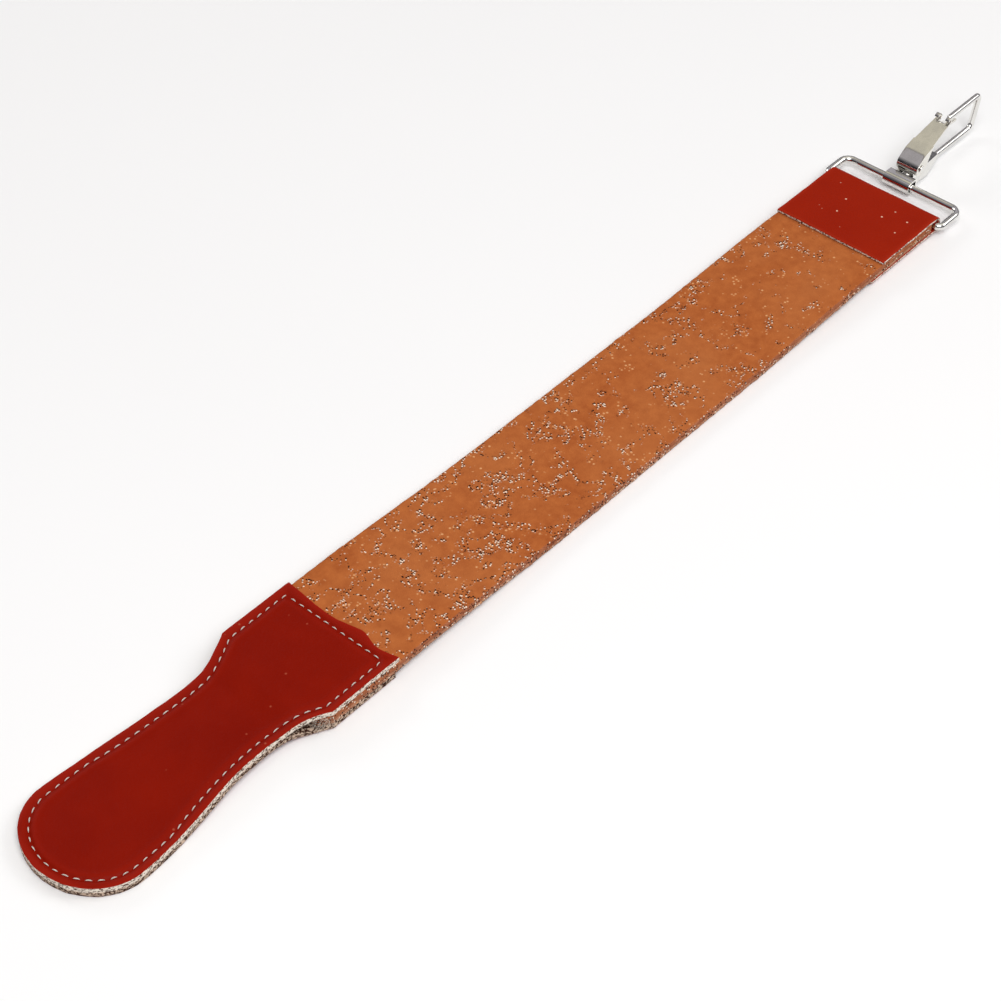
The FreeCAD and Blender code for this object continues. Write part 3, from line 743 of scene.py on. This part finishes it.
def makeTab():
    # a flat sheet, then carried round the wire: lower leaf, half turn, upper leaf
    lowRun, topRun = tab["foldX"] - tab["lowFront"], tab["foldX"] - tab["topFront"]
    arc = math.pi * tab["foldOuter"]
    total = lowRun + arc + topRun
    bm = bmesh.new()
    bmesh.ops.create_grid(bm, x_segments=tab["cellsAlong"], y_segments=tab["cellsAcross"], size=0.5)
    bmesh.ops.scale(bm, vec=(total, 2 * tab["half"], 1), verts=bm.verts[:])
    bmesh.ops.translate(bm, vec=(total / 2, 0, 0), verts=bm.verts[:])
    for vert in bm.verts:
        rim = max(0.0, 1 - min(vert.co.x, total - vert.co.x, tab["half"] - abs(vert.co.y)) / tab["rimWidth"])
        vert.co.x += tab["endWave"] * rim * noise.noise(Vector((vert.co.y / 6, 2.0, 0)))
        vert.co.y += math.copysign(tab["sideWave"] * rim * (noise.noise(vert.co / 5) - 0.5), vert.co.y)
        vert.co.z = tab["crown"] * noise.noise(vert.co / 13)
    thicken(bm, -tab["thick"])
    roundRims(bm, paintWalls(bm), tab["edgeRound"], 0)
    highlightLayer = bm.verts.layers.float.new("rim")
    middleZ = tab["low"] + tab["foldOuter"]
    for vert in bm.verts:
        run, y, rise = vert.co
        inset = min(run, total - run, tab["half"] - abs(y))
        # painted highlight, lightest at the tab's edges
        vert[highlightLayer] = tab["tint"] * max(0.0, 1 - inset / tab["highlightWidth"])
        reach = tab["foldOuter"] + rise
        if run < lowRun:
            x, z = tab["lowFront"] + run, middleZ - reach
        elif run < lowRun + arc:
            turn = (run - lowRun) / tab["foldOuter"]
            x, z = tab["foldX"] + reach * math.sin(turn), middleZ - reach * math.cos(turn)
        else:
            x, z = tab["foldX"] - (run - lowRun - arc), middleZ + reach
        vert.co = (frontX + x * mm, y * mm, deskZ + z * mm)
    bmesh.ops.recalc_face_normals(bm, faces=bm.faces[:])
    finishPiece(bm, "endTab", "strop", "end_tab", "tab_leather", tabLeather, paleEdge)


makeTab()
print("end tab made")


ring = {"wire": 1.5, "reach": 13.7, "half": 27.0, "innerBend": 2.0, "outerBend": 4.0, "foldX": 302.7,
        "weldLength": 1.6, "weldBulge": 0.1, "sides": 28, "bendSteps": 14, "barSteps": 6}


def makeRing():
    # half of the ring: a circle drawn along the bars and spun round the corners, then mirrored
    low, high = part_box("wire_ring")
    z = (low.z + high.z) / 2
    innerX, outerX = frontX + ring["foldX"] * mm, frontX + (ring["foldX"] + ring["reach"]) * mm
    half, wire = ring["half"] * mm, ring["wire"] * mm
    outerBend, innerBend = ring["outerBend"] * mm, ring["innerBend"] * mm
    bm = bmesh.new()
    upright = Matrix.Translation((outerX, 0, z)) @ Matrix.Rotation(math.pi / 2, 4, "X")
    made = bmesh.ops.create_circle(bm, cap_ends=False, radius=wire, segments=ring["sides"], matrix=upright)
    section = list(dict.fromkeys(edge for vert in made["verts"] for edge in vert.link_edges))

    def draw(section, move):
        grown = bmesh.ops.extrude_edge_only(bm, edges=section)["geom"]
        moved = [element for element in grown if isinstance(element, bmesh.types.BMVert)]
        bmesh.ops.translate(bm, vec=move, verts=moved)
        return [element for element in grown if isinstance(element, bmesh.types.BMEdge)
                and all(vert in moved for vert in element.verts)]

    def bend(section, centre):
        turned = bmesh.ops.spin(bm, geom=section, cent=centre, axis=(0, 0, 1), angle=math.pi / 2,
                                steps=ring["bendSteps"])
        return [element for element in turned["geom_last"] if isinstance(element, bmesh.types.BMEdge)]

    for step in range(ring["barSteps"]):
        section = draw(section, (0, (half - outerBend) / ring["barSteps"], 0))
    section = bend(section, (outerX - outerBend, half - outerBend, z))
    section = draw(section, (innerX + innerBend - outerX + outerBend, 0, 0))
    section = bend(section, (innerX + innerBend, half - innerBend, z))
    weld = ring["weldLength"] * mm / 2
    section = draw(section, (0, weld - half + innerBend, 0))
    section = draw(section, (0, -weld / 2, 0))
    draw(section, (0, -weld / 2, 0))
    for vert in bm.verts:
        if vert.co.x < (innerX + outerX) / 2 and abs(vert.co.y) < weld * 0.9:
            out = Vector((vert.co.x - innerX, 0, vert.co.z - z))
            vert.co += out.normalized() * ring["weldBulge"] * mm
    bmesh.ops.mirror(bm, geom=bm.verts[:] + bm.edges[:] + bm.faces[:], matrix=Matrix.Identity(4),
                     merge_dist=1e-6, axis="Y")
    bmesh.ops.remove_doubles(bm, verts=bm.verts[:], dist=1e-6)
    bmesh.ops.recalc_face_normals(bm, faces=bm.faces[:])
    finishPiece(bm, "wireRing", "ring", "wire_ring", "nickel", brightNickel)


makeRing()
print("wire ring made")


snap = {
    "pieces": {
        "clip_saddle": ("saddle", 0.16, brightNickel),
        "swivel_stud": ("hook", 0.22, brightNickel),
        "swivel_washer": ("hook", 0.1, brightNickel),
        "hook_body": ("hook", 0.2, brightNickel),
        "gate_lever": ("gate", 0.16, leverNickel),
        "gate_pin": ("hook", 0.18, brightNickel),
        "gate_spring": ("hook", 0.08, brightNickel),
        "spring_rivet": ("hook", 0.16, brightNickel),
    },
    "rounding": 3,            # segments of each tumbled edge
    "sharpest": 35,           # degrees, below which an edge stays as it is
    "flatness": 0.5,
    "springFoot": 2.0,        # height of the leaf spring's riveted foot
    "springPressed": 0.7,     # share of its height that is left when the trigger is pressed
}


def softenEdges(node, body, width, material):
    # the stamped part with its edges tumbled round
    bm = bmesh.new()
    bm.from_mesh(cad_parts[node].data)
    bmesh.ops.remove_doubles(bm, verts=bm.verts[:], dist=1e-6)
    bmesh.ops.dissolve_limit(bm, angle_limit=math.radians(snap["flatness"]), verts=bm.verts[:],
                             edges=bm.edges[:])
    words = node.split("_")
    name = words[0] + "".join(word.capitalize() for word in words[1:])
    piece = finishPiece(bm, name, body, node, "nickel", material)
    bevel = piece.modifiers.new("tumbledEdges", "BEVEL")
    bevel.width = width * mm
    bevel.segments = snap["rounding"]
    bevel.limit_method = "ANGLE"
    bevel.angle_limit = math.radians(snap["sharpest"])
    flats = piece.modifiers.new("flatFaces", "WEIGHTED_NORMAL")
    flats.weight = 100
    return piece


for node, (body, width, material) in snap["pieces"].items():
    piece = softenEdges(node, body, width, material)
    if node == "gate_spring":
        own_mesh(piece)
print("snap made")


stage = {
    "floorHalf": 3.0,
    "floorDrop": 0.0002,
    "lights": {               # place, size and power
        "key": ((-0.7, -0.8, 1.6), (1.3, 1.3), 25),
        "fill": ((1.2, -0.9, 1.2), (1.1, 0.9), 9),
        "rim": ((0.3, 1.5, 0.9), (1.0, 0.5), 4.5),
    },
}


def makeFloor():
    bm = bmesh.new()
    bmesh.ops.create_grid(bm, x_segments=8, y_segments=8, size=stage["floorHalf"])
    bmesh.ops.translate(bm, vec=(0, 0, deskZ - stage["floorDrop"]), verts=bm.verts[:])
    mesh = bpy.data.meshes.new("floor")
    bm.to_mesh(mesh)
    bm.free()
    material, tree, shader = startMaterial("paleFloor", 0.9, Specular_IOR_Level=0.0)
    place = addNode(tree, "ShaderNodeTexCoord", -900, 0)
    clouds = setInputs(addNode(tree, "ShaderNodeTexNoise", -700, 0), Scale=3.0, Detail=2.0)
    tree.links.new(place.outputs["Object"], clouds.inputs["Vector"])
    tree.links.new(mixColour(tree, -400, 0, clouds.outputs["Fac"], (0.93, 0.93, 0.93, 1),
                             (0.96, 0.96, 0.96, 1)), shader.inputs["Base Color"])
    mesh.materials.append(material)
    floor = bpy.data.objects.new("floor", mesh)
    bpy.context.scene.collection.objects.link(floor)


def makeLight(name, place, size, power):
    data = bpy.data.lights.new(name, "AREA")
    data.shape = "RECTANGLE"
    data.size, data.size_y = size
    data.energy = power
    light = bpy.data.objects.new(name, data)
    light.location = place
    light.rotation_euler = (-Vector(place)).to_track_quat("-Z", "Y").to_euler()
    bpy.context.scene.collection.objects.link(light)


def makeWorld():
    # a bright ceiling that darkens towards the horizon, so that the metal has something to show
    world = bpy.data.worlds.new("studio")
    bpy.context.scene.world = world
    world.use_nodes = True
    tree = world.node_tree
    place = addNode(tree, "ShaderNodeTexCoord", -900, 0)
    climb = addNode(tree, "ShaderNodeVectorMath", -700, 0, operation="DOT_PRODUCT")
    climb.inputs[1].default_value = (0.287, 0.0, 0.958)
    tree.links.new(place.outputs["Generated"], climb.inputs[0])
    ramp = addNode(tree, "ShaderNodeValToRGB", -500, 0)
    tree.links.new(climb.outputs["Value"], ramp.inputs["Fac"])
    low, high = ramp.color_ramp.elements
    low.position, low.color = 0.05, (0.015, 0.015, 0.02, 1)
    high.position, high.color = 1.0, (0.85, 0.84, 0.8, 1)
    for position, colour in ((0.3, (0.1, 0.1, 0.11, 1)), (0.62, (0.26, 0.25, 0.27, 1)),
                             (0.78, (0.46, 0.44, 0.48, 1)), (0.86, (0.2, 0.19, 0.18, 1)),
                             (0.925, (0.7, 0.66, 0.55, 1))):
        ramp.color_ramp.elements.new(position).color = colour
    tree.links.new(ramp.outputs["Color"], tree.nodes["Background"].inputs["Color"])
    tree.nodes["Background"].inputs["Strength"].default_value = 1.0
    bpy.context.scene.view_settings.view_transform = "Standard"


view = {"lens": 84.8, "place": (-0.47285, -0.3787, 0.5695), "target": (-0.04375, 0.00087, 0.004)}


def makeCamera():
    data = bpy.data.cameras.new("camera")
    data.lens = view["lens"]
    data.sensor_width = 36
    camera = bpy.data.objects.new("camera", data)
    camera.location = view["place"]
    towards = Vector(view["target"]) - Vector(view["place"])
    camera.rotation_euler = towards.to_track_quat("-Z", "Y").to_euler()
    bpy.context.scene.collection.objects.link(camera)
    bpy.context.scene.camera = camera


makeFloor()
for name, (place, size, power) in stage["lights"].items():
    makeLight(name, place, size, power)
makeWorld()
makeCamera()
print("stage made")
